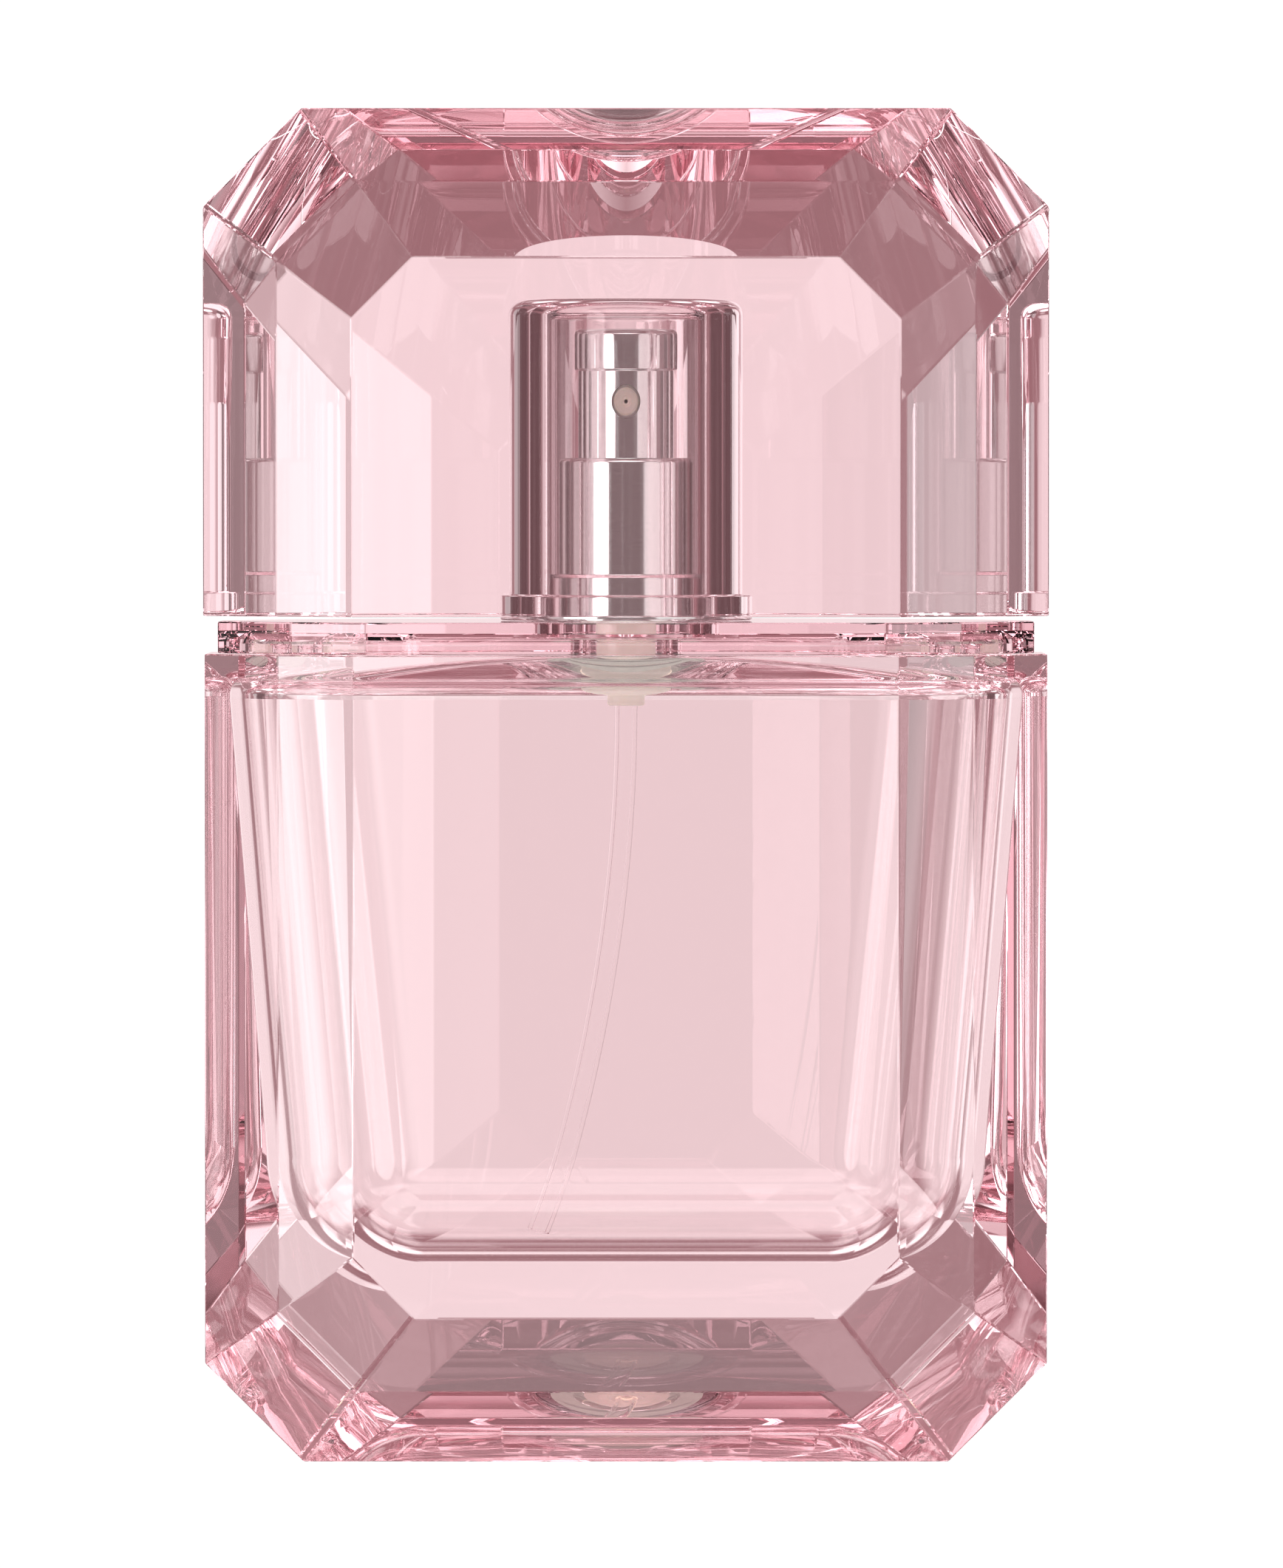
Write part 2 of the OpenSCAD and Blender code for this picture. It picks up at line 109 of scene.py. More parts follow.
def meshFrom(name, points, quads, extra=(), smooth=True):
    # one mesh from point and quad arrays, with doubles merged, degenerate faces gone, facing out
    made = bpy.data.meshes.new(name)
    faces = [[int(i) for i in q] for q in quads] + [list(f) for f in extra]
    made.from_pydata([tuple(p) for p in points.tolist()], [], faces)
    work = bmesh.new()
    work.from_mesh(made)
    bmesh.ops.remove_doubles(work, verts=work.verts, dist=1e-7)
    bmesh.ops.dissolve_degenerate(work, edges=work.edges, dist=1e-8)
    bmesh.ops.recalc_face_normals(work, faces=work.faces)
    work.to_mesh(made)
    work.free()
    made.polygons.foreach_set("use_smooth", np.full(len(made.polygons), smooth))
    return made


def objectOf(name, mesh):
    # a mesh put into the scene, at the origin
    made = bpy.data.objects.new(name, mesh)
    scene.collection.objects.link(made)
    return made


def carve(name, baseMesh, steps):
    # joins and cuts closed meshes: steps is a list of (mesh, "UNION" or "DIFFERENCE", ground).
    # Ground faces carry index 0 through the cuts and end flat; round ones carry 1 and end smooth
    def marked(label, mesh, ground):
        # an object whose faces all carry the index for ground or for round
        mesh.materials.clear()
        mesh.materials.append(None)
        mesh.materials.append(None)
        mesh.polygons.foreach_set("material_index", np.full(len(mesh.polygons), 0 if ground else 1))
        return objectOf(label, mesh)

    base = marked(name, baseMesh, True)
    tools = []
    for index, (toolMesh, operation, ground) in enumerate(steps):
        tool = marked(f"{name}.tool{index}", toolMesh, ground)
        cut = base.modifiers.new(f"cut{index}", "BOOLEAN")
        cut.operation, cut.solver, cut.object = operation, "EXACT", tool
        tools.append(tool)
    graph = bpy.context.evaluated_depsgraph_get()
    result = bpy.data.meshes.new_from_object(base.evaluated_get(graph))
    result.name = name
    for used in tools + [base]:
        bpy.data.objects.remove(used)
    mark = np.empty(len(result.polygons), dtype=np.int32)
    result.polygons.foreach_get("material_index", mark)
    result.polygons.foreach_set("use_smooth", mark == 1)
    result.polygons.foreach_set("material_index", np.zeros(len(mark), dtype=np.int32))
    return result


def bevelled(mesh, width, segments=2):
    # the mesh with its edges broken by a small polished land
    work = objectOf("bevelWork", mesh)
    edge = work.modifiers.new("land", "BEVEL")
    edge.width, edge.segments, edge.limit_method = width, segments, "ANGLE"
    edge.angle_limit = math.radians(3)
    graph = bpy.context.evaluated_depsgraph_get()
    result = bpy.data.meshes.new_from_object(work.evaluated_get(graph))
    bpy.data.objects.remove(work)
    return result


def piece(name, mesh, material, body, hides, sharpAngle=28):
    # a finished piece: its object at the origin, sharp edges marked, riding on a body
    smoothFaces = np.empty(len(mesh.polygons), dtype=bool)
    mesh.polygons.foreach_get("use_smooth", smoothFaces)
    mesh.set_sharp_from_angle(angle=math.radians(sharpAngle))
    mesh.polygons.foreach_set("use_smooth", smoothFaces)
    made = objectOf(name, mesh)
    made.data.materials.clear()
    made.data.materials.append(material)
    level = made.modifiers.new("evenNormals", "WEIGHTED_NORMAL")
    level.keep_sharp = True
    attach(made, body)
    if hides:
        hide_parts(*hides)
    return made


def rounded(points, radius, steps=5):
    # an outline of (r, z) points with each corner replaced by a circle's arc of that radius: the arc
    # meets each side at radius / tan(half the corner's angle), and at most this share of the side
    sideShare = 0.45
    pts = np.array(points, float)
    count = len(pts)
    radii = np.broadcast_to(radius, count)
    out = []
    for i in range(count):
        here, before, after = pts[i], pts[i - 1], pts[(i + 1) % count]
        a, b = before - here, after - here
        la, lb = np.linalg.norm(a), np.linalg.norm(b)
        a, b = a / la, b / lb
        half = math.acos(np.clip(a @ b, -1, 1)) / 2
        reach = min(radii[i] / math.tan(half), la * sideShare, lb * sideShare) if half > 0.05 else 0
        if reach < 1e-7 or here[0] < 1e-7:
            out.append(here)
            continue
        r = reach * math.tan(half)
        centre = here + (a + b) / np.linalg.norm(a + b) * r / math.sin(half)
        start, end = here + a * reach - centre, here + b * reach - centre
        turn = math.atan2(start[0] * end[1] - start[1] * end[0], start @ end)
        angle = np.linspace(0, turn, steps + 1)
        cosA, sinA = np.cos(angle), np.sin(angle)
        arc = np.stack([start[0] * cosA - start[1] * sinA, start[0] * sinA + start[1] * cosA], 1)
        out.extend(centre + arc)
    return np.array(out)


def lathe(outline, segments=160):
    # a closed (r, z) outline carried round the Z axis: x = r cos a, y = r sin a
    angle = np.linspace(0, 2 * math.pi, segments, endpoint=False)[None, :]
    r, z = outline[:, 0][:, None], outline[:, 1][:, None]
    grid = np.stack([r * np.cos(angle), r * np.sin(angle), z + 0 * angle], -1)
    return grid.reshape(-1, 3), gridFaces(len(outline), segments, wrapRows=True)


# materials

def clearMaterial(name, ior, lacquer, absorb, depth, haze, wave):
    # a clear solid: light is bent by its index, tinted by the thin lacquer on its skin and dimmed
    # by the depth it crosses; absorb is the share of red, green and blue lost in each millimetre,
    # depth a pattern size in metres
    made, tree = blankMaterial(name)
    place = addNode(tree, "ShaderNodeTexCoord")
    cloud = addNode(tree, "ShaderNodeTexNoise", {"Scale": 1 / depth, "Detail": 2.0},
                    {"Vector": (place, "Object")})
    rough = addNode(tree, "ShaderNodeMapRange", {"From Min": 0.35, "From Max": 0.75,
                                                 "To Min": 0.0, "To Max": haze},
                    {"Value": (cloud, "Fac")})
    bump = addNode(tree, "ShaderNodeBump", {"Strength": 1.0, "Distance": wave},
                   {"Height": (cloud, "Fac")})
    glass = addNode(tree, "ShaderNodeBsdfPrincipled",
                    {"Base Color": linearColour(lacquer), "IOR": ior, "Transmission Weight": 1.0},
                    {"Roughness": (rough, "Result"), "Normal": (bump, "Normal")})
    out = addNode(tree, "ShaderNodeOutputMaterial", None, {"Surface": (glass, "BSDF")})
    if absorb is not None:
        perMetre = np.array(absorb) * 1000
        density = float(perMetre.max() * 1.02)
        colour = (*[float(1 - v / density) for v in perMetre], 1)
        tint = addNode(tree, "ShaderNodeVolumeAbsorption", {"Color": colour, "Density": density})
        tree.links.new(tint.outputs["Volume"], out.inputs["Volume"])
    return made


def metalMaterial(name, colour, roughness, grain, streak):
    # drawn metal: fine scratches run round the barrel, so the grain is long across and short up
    made, tree = blankMaterial(name)
    place = addNode(tree, "ShaderNodeTexCoord")
    turned = addNode(tree, "ShaderNodeMapping", {"Scale": (0.06 / grain, 0.06 / grain, 1 / grain)},
                     {"Vector": (place, "Object")})
    lines = addNode(tree, "ShaderNodeTexNoise", {"Scale": 1.0, "Detail": 4.0},
                    {"Vector": (turned, "Vector")})
    rough = addNode(tree, "ShaderNodeMapRange", {"From Min": 0.3, "From Max": 0.7,
                                                 "To Min": roughness * 0.7, "To Max": roughness * 1.4},
                    {"Value": (lines, "Fac")})
    bump = addNode(tree, "ShaderNodeBump", {"Strength": 0.5, "Distance": streak},
                   {"Height": (lines, "Fac")})
    lift = addNode(tree, "ShaderNodeMapRange", {"From Min": 0.3, "From Max": 0.7,
                                                "To Min": 0.96, "To Max": 1.03},
                   {"Value": (lines, "Fac")})
    tone = addNode(tree, "ShaderNodeHueSaturation", {"Color": linearColour(colour)},
                   {"Value": (lift, "Result")})
    metal = addNode(tree, "ShaderNodeBsdfPrincipled", {"Metallic": 1.0},
                    {"Base Color": (tone, "Color"), "Roughness": (rough, "Result"),
                     "Normal": (bump, "Normal")})
    addNode(tree, "ShaderNodeOutputMaterial", None, {"Surface": (metal, "BSDF")})
    return made


def mouldedMaterial(name, colour, roughness, grain, sheer=0.0, glow=0.0):
    # moulded polymer: a fine spark-eroded skin and a slight drift of colour; glow is painted light: the
    # surface emits its own colour at that strength, a painted glow that lifts its shaded parts
    made, tree = blankMaterial(name)
    place = addNode(tree, "ShaderNodeTexCoord")
    skin = addNode(tree, "ShaderNodeTexNoise", {"Scale": 1 / grain, "Detail": 3.0},
                   {"Vector": (place, "Object")})
    drift = addNode(tree, "ShaderNodeTexNoise", {"Scale": 0.08 / grain, "Detail": 1.0},
                    {"Vector": (place, "Object")})
    lift = addNode(tree, "ShaderNodeMapRange", {"From Min": 0.3, "From Max": 0.7,
                                                "To Min": 0.93, "To Max": 1.04},
                   {"Value": (drift, "Fac")})
    tone = addNode(tree, "ShaderNodeHueSaturation", {"Color": linearColour(colour)},
                   {"Value": (lift, "Result")})
    rough = addNode(tree, "ShaderNodeMapRange", {"From Min": 0.3, "From Max": 0.7,
                                                 "To Min": roughness * 0.85, "To Max": roughness * 1.2},
                    {"Value": (skin, "Fac")})
    bump = addNode(tree, "ShaderNodeBump", {"Strength": 0.4, "Distance": 0.004 * mm},
                   {"Height": (skin, "Fac")})
    # painted glow: Emission Strength set to glow makes the part shine its own colour, though it is no
    # lamp
    solid = addNode(tree, "ShaderNodeBsdfPrincipled", {"IOR": 1.5, "Subsurface Weight": sheer,
                                                        "Emission Strength": glow,
                                                        "Emission Color": linearColour(colour)},
                    {"Base Color": (tone, "Color"), "Roughness": (rough, "Result"),
                     "Normal": (bump, "Normal")})
    solid.inputs["Subsurface Scale"].default_value = 0.4 * mm
    addNode(tree, "ShaderNodeOutputMaterial", None, {"Surface": (solid, "BSDF")})
    return made


# what a millimetre of fully tinted stock takes from red, green and blue
rose = np.array([0.0009, 0.0140, 0.0112])

# flint glass, moulded, then ground and polished: clear, and pinker where it is thick
glassPink = clearMaterial("pinkFlintGlass", 1.52, "#fffefe", rose * 0.28, 9 * mm, 0.002, 0.0)
# cast acrylic, cut and buffed: bends light less than the glass, pale in the block
acrylicPink = clearMaterial("pinkCastAcrylic", 1.49, "#fef3f5", rose * 0.12, 11 * mm, 0.002, 0.0)
# rose acrylic sheet, buffed: a deeper line between bottle and cap
acrylicRose = clearMaterial("roseAcrylicSheet", 1.49, "#fdf0f3", rose * 0.5, 8 * mm, 0.002, 0.0)
# perfume, mostly alcohol: clear with a blush, bends light a little less than the glass
perfumeLiquid = clearMaterial("blushPerfume", 1.36, "#fefcfc", rose * 0.2, 14 * mm, 0.0, 0.0)
# moulded clear acrylic: seen by its two edges and its rounded roof
acrylicClear = clearMaterial("clearMouldedLiner", 1.49, "#ffffff", rose * 0.1, 6 * mm, 0.002, 0.0)
# extruded polypropylene tube wetted by the liquid: its index against the perfume's leaves a thin line
tubeClear = clearMaterial("clearDipTubeInLiquid", 1.05, "#ffffff", rose * 0.05, 4 * mm, 0.0, 0.0)
# drawn aluminium, polished and lacquered: mirror bright, with the finest rings
aluminiumBright = metalMaterial("brightDrawnAluminium", "#dbe6e3", 0.07, 0.05 * mm, 0.0004 * mm)
# drawn aluminium as it leaves the crimping tool: duller
aluminiumCrimp = metalMaterial("crimpedAluminium", "#c8c8ca", 0.24, 0.08 * mm, 0.002 * mm)
# ground steel: a small sharp glint
steelBall = metalMaterial("groundSteelBall", "#d2d2d4", 0.09, 0.06 * mm, 0.0003 * mm)
# cold drawn stainless wire: satin
steelWire = metalMaterial("drawnStainlessWire", "#b4b4b6", 0.2, 0.04 * mm, 0.002 * mm)
# moulded polypropylene, unpigmented: cream, with a painted glow that lifts it in the shade
plasticCream = mouldedMaterial("creamPolypropylene", "#efe6da", 0.32, 0.12 * mm, 0.2, 0.25)
# the same, paler, with a stronger painted glow in place of light through a thin wall: milky
plasticMilky = mouldedMaterial("milkyPolypropylene", "#f6e9de", 0.38, 0.12 * mm, 0.2, 0.48)
# moulded polyethylene: waxy white
plasticWhite = mouldedMaterial("whitePolyethylene", "#efeeec", 0.36, 0.12 * mm, 0.2)
# moulded thermoplastic rubber: pale and matt, with a painted glow that lifts it in the shade
rubberPale = mouldedMaterial("paleGasketRubber", "#e0ddd8", 0.55, 0.1 * mm, 0.0, 0.3)
# moulded nitrile rubber: near black, matt
rubberDark = mouldedMaterial("darkNitrileRubber", "#2a292b", 0.5, 0.1 * mm)
print("materials made")


# the cut stone: body, plate, plateau and cap are blocks of it. A block's corners are cut by the
# leg less the taper times the inset, and its facets step in by the insets over the drops

stoneCut = {
    "bodyInset": 0.1 * mm,
    "plateInset": 1.0 * mm,
    "cornerLeg": 7.0 * mm,
    "frontTaper": 0.25,
    "rearTaper": 0.17,
    "frontInsets": (5.3 * mm, 10.7 * mm),
    "frontDrops": (4.8 * mm, 8.4 * mm),
    "rearInsets": (8.1 * mm, 16.0 * mm, 20.8 * mm),
    "rearDrops": (6.3 * mm, 10.6 * mm, 12.6 * mm),
    "land": 0.1 * mm,
    "plateLand": 0.12 * mm,
}
capLow, capHigh = corners("cap_shell")
bodyLow, bodyHigh = corners("glass_bottle")
plateLow, plateHigh = corners("shoulder_plate")
stoneHalf = capHigh[0]
stoneTop = capHigh[2]


def stoneBlock(name, inset, low, high, cutLow, cutHigh):
    # rings of eight corners from the front table to the rear one. At inset d a ring is half the
    # width less d wide, its corners are cut by leg - taper * d, and it ends d inside each cut end
    front = stoneCut["frontInsets"][::-1]
    rear = stoneCut["rearInsets"]
    d = np.array([*front, 0, 0, *rear])
    girdleFront = capLow[1] + stoneCut["frontDrops"][1]
    girdleRear = capHigh[1] - stoneCut["rearDrops"][2]
    drops = np.array([*stoneCut["frontDrops"][::-1], 0])
    y = np.concatenate([girdleFront - drops + inset,
                        girdleRear + np.array([0, *stoneCut["rearDrops"]]) - inset])
    taper = np.array([stoneCut["frontTaper"]] * 3 + [stoneCut["rearTaper"]] * 4)
    leg = stoneCut["cornerLeg"] - taper * d
    x = stoneHalf - inset - d
    zLow, legLow = (low + d, leg) if cutLow else (low + 0 * d, 0 * d)
    zHigh, legHigh = (high - d, leg) if cutHigh else (high + 0 * d, 0 * d)
    ring = np.stack([
        np.stack([-x + legLow, y, zLow], 1), np.stack([x - legLow, y, zLow], 1),
        np.stack([x, y, zLow + legLow], 1), np.stack([x, y, zHigh - legHigh], 1),
        np.stack([x - legHigh, y, zHigh], 1), np.stack([-x + legHigh, y, zHigh], 1),
        np.stack([-x, y, zHigh - legHigh], 1), np.stack([-x, y, zLow + legLow], 1)], 1)
    last = 8 * (len(d) - 1)
    ends = [list(range(8)), [last + i for i in range(8)]]
    return meshFrom(name, ring.reshape(-1, 3), gridFaces(len(d), 8), ends, smooth=False)


# cavity: the hollow that the liquid fills

cavityShape = {
    "floor": 14.1 * mm,
    "side": 4.7 * mm,
    "draft": 3.4 * mm,
    "depth": 17.0 * mm,
    "cornerRadius": 7.5 * mm,
    "shoulderRadius": 1.2 * mm,
    "deckWall": 1.8 * mm,
    "domeRise": 1.6 * mm,
    "neckBore": 4.0 * mm,
    "fillDrop": 3.2 * mm,
    "film": 0.03 * mm,
    "arcSteps": 37,
    "wallSteps": 14,
    "shoulderSteps": 13,
    "domeSteps": 16,
    "round": 144,
}
deckTop = plateLow[2]


def roundedBoxRing(halfW, halfD, radius, count):
    # points of a rectangle with round corners, spread by the angle of a circle of that radius
    # plus the straight stretch that its quarter has: x = w - r + r cos a, y = d - r + r sin a
    a = np.linspace(0, 2 * math.pi, count, endpoint=False) + math.pi / count
    sx, sy = np.sign(np.cos(a)), np.sign(np.sin(a))
    x = sx[None, :] * (halfW - radius)[:, None] + radius[:, None] * np.cos(a)[None, :]
    y = sy[None, :] * (halfD - radius)[:, None] + radius[:, None] * np.sin(a)[None, :]
    return x, y


def cavityMesh(name, grow, topZ, openNeck):
    # the hollow as stacked rounded rectangles: a quarter-circle foot, walls that lean out in a
    # straight line, a quarter-circle shoulder, then a low dome that blends into the round neck
    s = cavityShape
    r1, r2 = s["cornerRadius"], s["shoulderRadius"]
    halfW = stoneHalf - stoneCut["bodyInset"] - s["side"]
    footW = halfW - s["draft"]
    halfD = s["depth"] / 2
    shoulderZ = deckTop - s["deckWall"]
    t = np.linspace(0, math.pi / 2, s["arcSteps"])
    z1, w1 = s["floor"] + r1 * (1 - np.cos(t)), footW - r1 + r1 * np.sin(t)
    z2 = np.linspace(z1[-1], shoulderZ - r2, s["wallSteps"])[1:-1]
    w2 = np.interp(z2, [z1[-1], shoulderZ - r2], [footW, halfW])
    u = np.linspace(0, math.pi / 2, s["shoulderSteps"])
    z3, in3 = shoulderZ - r2 + r2 * np.sin(u), r2 * (1 - np.cos(u))
    z = np.concatenate([z1, z2, z3])
    w = np.concatenate([w1, w2, halfW - in3])
    d = np.concatenate([halfD - r1 + r1 * np.sin(t), np.full(len(z2), halfD), halfD - in3])
    k = np.concatenate([r1 * np.sin(t), np.full(len(z2), r1), r1 - in3])
    w, d, k = w + grow, d + grow, np.maximum(k + grow, 0.05 * mm)
    z = z - np.where(np.arange(len(z)) < len(t), grow, 0)
    if openNeck:
        v = np.linspace(0, 1, s["domeSteps"])[1:]
        bore = s["neckBore"]
        w = np.concatenate([w, w[-1] + (bore - w[-1]) * v, [bore]])
        d = np.concatenate([d, d[-1] + (bore - d[-1]) * v, [bore]])
        k = np.concatenate([k, k[-1] + (bore - k[-1]) * v, [bore]])
        z = np.concatenate([z, shoulderZ + s["domeRise"] * np.sin(v * math.pi / 2), [topZ]])
    else:
        keep = z < topZ - 1e-6
        w, d, k = (np.append(q[keep], np.interp(topZ, z, q)) for q in (w, d, k))
        z = np.append(z[keep], topZ)
    count = s["round"]
    x, y = roundedBoxRing(w, d, k, count)
    grid = np.stack([x, y, np.broadcast_to(z[:, None], x.shape)], -1)
    rows = len(z)
    ends = [list(range(count)), [(rows - 1) * count + i for i in range(count)]]
    return meshFrom(name, grid.reshape(-1, 3), gridFaces(rows, count), ends)


# glass bottle

plateauShape = {
    "inset": 4.25 * mm,
    "height": 1.4 * mm,
    "land": 0.8 * mm,
    "landSteps": 4,
}
neckShape = {
    "shank": 5.7 * mm,
    "bead": 6.5 * mm,
    "beadHeight": 2.8 * mm,
    "edge": 0.5 * mm,
    "sunk": 1.2 * mm,
}


def plateauBlock(name, slack, low):
    # the low step on the deck, a stone block of its own; slack is room left round it on all sides
    p = plateauShape
    block = stoneBlock(name, p["inset"] - slack, low, deckTop + p["height"] + slack, False, False)
    return bevelled(block, p["land"], p["landSteps"])


def buildBottle():
    # the body's block joined to its plateau and to a turned neck with a bead, less the hollow
    beadTop = bodyHigh[2]
    n = neckShape
    block = bevelled(stoneBlock("bottleBlock", stoneCut["bodyInset"], 0, deckTop, True, False),
                     stoneCut["land"])
    plateau = plateauBlock("bottlePlateau", 0, deckTop - overshoot)
    beadLow, foot = beadTop - n["beadHeight"], deckTop - n["sunk"]
    outline = rounded([(0, foot), (n["shank"], foot), (n["shank"], beadLow), (n["bead"], beadLow),
                       (n["bead"], beadTop), (0, beadTop)], n["edge"])
    neck = meshFrom("bottleNeck", *lathe(outline))
    hollow = cavityMesh("bottleHollow", 0, beadTop + overshoot, True)
    made = carve("glassBottle", block, [(plateau, "UNION", True), (neck, "UNION", False),
                                        (hollow, "DIFFERENCE", False)])
    return piece("glassBottle", made, glassPink, "bottle", ["glass_bottle"])


def buildLiquid():
    # the hollow again, grown by a film so that liquid and glass share one surface, cut off flat at
    # the fill height
    s = cavityShape
    made = cavityMesh("perfumeLiquid", s["film"], deckTop - s["fillDrop"], False)
    return piece("perfumeLiquid", made, perfumeLiquid, "bottle", ["perfume_liquid"])


buildBottle()
buildLiquid()
print("bottle and liquid made")


# parting plate

plateShape = {
    "airGap": 0.03 * mm,
    "slack": 0.1 * mm,
    "hole": 6.65 * mm,
}


def buildPlate():
    # a slab of the stone with a recess over the plateau and a round hole for the neck
    s = plateShape
    low, high = plateLow[2] + s["airGap"], plateHigh[2]
    slab = bevelled(stoneBlock("plateSlab", stoneCut["plateInset"], low, high, False, False),
                    stoneCut["plateLand"])
    recess = plateauBlock("plateRecess", s["slack"], low - overshoot)
    under, over = low - overshoot, high + overshoot
    outline = np.array([(0, under), (s["hole"], under), (s["hole"], over), (0, over)])
    hole = meshFrom("plateHole", *lathe(outline))
    made = carve("shoulderPlate", slab, [(recess, "DIFFERENCE", True), (hole, "DIFFERENCE", False)])
    return piece("shoulderPlate", made, acrylicRose, "bottle", ["shoulder_plate"])


buildPlate()


# cap and its liner

linerShape = {
    "gap": 0.05 * mm,
    "flangeWidth": 0.7 * mm,
    "flangeHeight": 1.4 * mm,
    "wall": 0.7 * mm,
    "roof": 1.0 * mm,
    "grip": 3.2 * mm,
    "gripWall": 1.15 * mm,
    "foot": 0.03 * mm,
    "radii": np.array([0.15, 0.15, 0.1, 1.2, 0, 0, 0.5, 0.2, 0.15, 0.2]) * mm,
    "boreRadii": np.array([0, 0, 0.1, 0.1, 1.2, 0]) * mm,
}
linerLow, linerHigh = corners("cap_liner")


def buildCap():
    # the cap's block less a turned bore, which is the liner's outside with a gap round it
    s = linerShape
    gap, under = s["gap"], capLow[2] - overshoot
    boreR, boreTop = linerHigh[0] - s["flangeWidth"] + gap, linerHigh[2] + gap
    flangeR, flangeTop = linerHigh[0] + gap, capLow[2] + s["flangeHeight"] + gap
    block = bevelled(stoneBlock("capBlock", 0, capLow[2], stoneTop, False, True), stoneCut["land"])
    outline = rounded([(0, under), (flangeR, under), (flangeR, flangeTop), (boreR, flangeTop),
                       (boreR, boreTop), (0, boreTop)], s["boreRadii"], 10)
    bore = meshFrom("capBore", *lathe(outline, 256))
    made = carve("capShell", block, [(bore, "DIFFERENCE", False)])
    return piece("capShell", made, acrylicPink, "cap", ["cap_shell"])


def buildLiner():
    # a turned cup, open below, with a flange at its foot and a thicker ring that grips the collar
    s = linerShape
    flangeR, top = linerHigh[0], linerHigh[2]
    wallR = flangeR - s["flangeWidth"]
    inR = wallR - s["wall"]
    gripR = wallR - s["gripWall"]
    foot, flangeTop = linerLow[2] + s["foot"], capLow[2] + s["flangeHeight"]
    gripTop, roofLow = linerLow[2] + s["grip"], top - s["roof"]
    outline = rounded([(flangeR, foot), (flangeR, flangeTop), (wallR, flangeTop), (wallR, top),
                       (0, top), (0, roofLow), (inR, roofLow), (inR, gripTop), (gripR, gripTop),
                       (gripR, foot)], s["radii"], 8)
    made = meshFrom("capLiner", *lathe(outline, 200))
    return piece("capLiner", made, acrylicClear, "cap", ["cap_liner"])


buildCap()
buildLiner()
print("cap made")


# collar, actuator and nozzle

collarShape = {
    "wall": 0.25 * mm,
    "rim": 5.3 * mm,
    "foot": 0.03 * mm,
    "radii": np.array([0.05, 0.08, 0.35, 0.08, 0.05, 0.1]) * mm,
}
buttonShape = {
    "barrel": 5.05 * mm,
    "wall": 0.3 * mm,
    "crown": 2.9 * mm,
    "window": 1.2 * mm,
    "windowFrom": 3 * mm,
    "windowTo": 8 * mm,
    "radii": np.array([0.08, 0.1, 0.1, 0.12, 0.45, 0, 0, 0.2]) * mm,
}
nozzleShape = {
    "orifice": 0.15 * mm,
    "dish": 0.3 * mm,
    "dishDepth": 0.18 * mm,
    "ring": 0.45 * mm,
    "land": 0.8 * mm,
    "landDepth": 0.05 * mm,
    "chamfer": 0.15 * mm,
    "chamferDepth": 0.12 * mm,
    "wall": 0.4 * mm,
    "front": 0.6 * mm,
    "edge": 0.05 * mm,
}


def facingFront(outline, height, segments=64):
    # a turned shape laid over so that its axis points to the front (-Y) at that height
    points, quads = lathe(outline, segments)
    return np.stack([points[:, 0], -points[:, 2], points[:, 1] + height], 1), quads


def buildCollar():
    # a thin turned tube with its top edge rolled in to a rim
    low, high = corners("ferrule_collar")
    s = collarShape
    r, top, foot = high[0], high[2], low[2] + s["foot"]
    inR, under = r - s["wall"], top - s["wall"]
    outline = rounded([(inR, foot), (r, foot), (r, top), (s["rim"], top), (s["rim"], under),
                       (inR, under)], s["radii"], 6)
    made = meshFrom("ferruleCollar", *lathe(outline))
    return piece("ferruleCollar", made, aluminiumBright, "bottle",
                 ["ferrule_collar"])


def buildActuator():
    # a turned metal button with a wider crown, less a round window in front for the nozzle
    low, high = corners("actuator_shell")
    s = buttonShape
    barrelR, crownR, foot, top = s["barrel"], high[0], low[2], high[2]
    inR, under, step = barrelR - s["wall"], top - s["wall"], top - s["crown"]
    outline = rounded([(inR, foot), (barrelR, foot), (barrelR, step), (crownR, step), (crownR, top),
                       (0, top), (0, under), (inR, under)], s["radii"], 6)
    shell = meshFrom("actuatorTurned", *lathe(outline, 192))
    nozzleLow, nozzleHigh = corners("nozzle_insert")
    height = (nozzleLow[2] + nozzleHigh[2]) / 2
    r, start, end = s["window"], s["windowFrom"], s["windowTo"]
    rod = np.array([(0, start), (r, start), (r, end), (0, end)])
    window = meshFrom("actuatorWindow", *facingFront(rod, height))
    made = carve("actuatorShell", shell, [(window, "DIFFERENCE", False)])
    made.polygons.foreach_set("use_smooth", np.full(len(made.polygons), True))
    return piece("actuatorShell", made, aluminiumBright, "actuator",
                 ["actuator_shell"])


def buildNozzle():
    # a turned cup facing the front: the orifice in a dished middle, a ring land and a chamfered rim
    low, high = corners("nozzle_insert")
    s = nozzleShape
    height, r = (low[2] + high[2]) / 2, (high[2] - low[2]) / 2
    face, back = -low[1], -high[1]
    dish, land, inside = face - s["dishDepth"], face - s["landDepth"], face - s["front"]
    inR = r - s["wall"]
    outline = rounded([(s["orifice"], dish), (s["dish"], dish), (s["ring"], land), (s["land"], land),
                       (r - s["chamfer"], face), (r, face - s["chamferDepth"]), (r, back), (inR, back),
                       (inR, inside), (s["orifice"], inside)], s["edge"], 4)
    made = meshFrom("nozzleInsert", *facingFront(outline, height))
    return piece("nozzleInsert", made, plasticCream, "actuator", ["nozzle_insert"])


buildCollar()
buildActuator()
buildNozzle()


# pump housing and stem

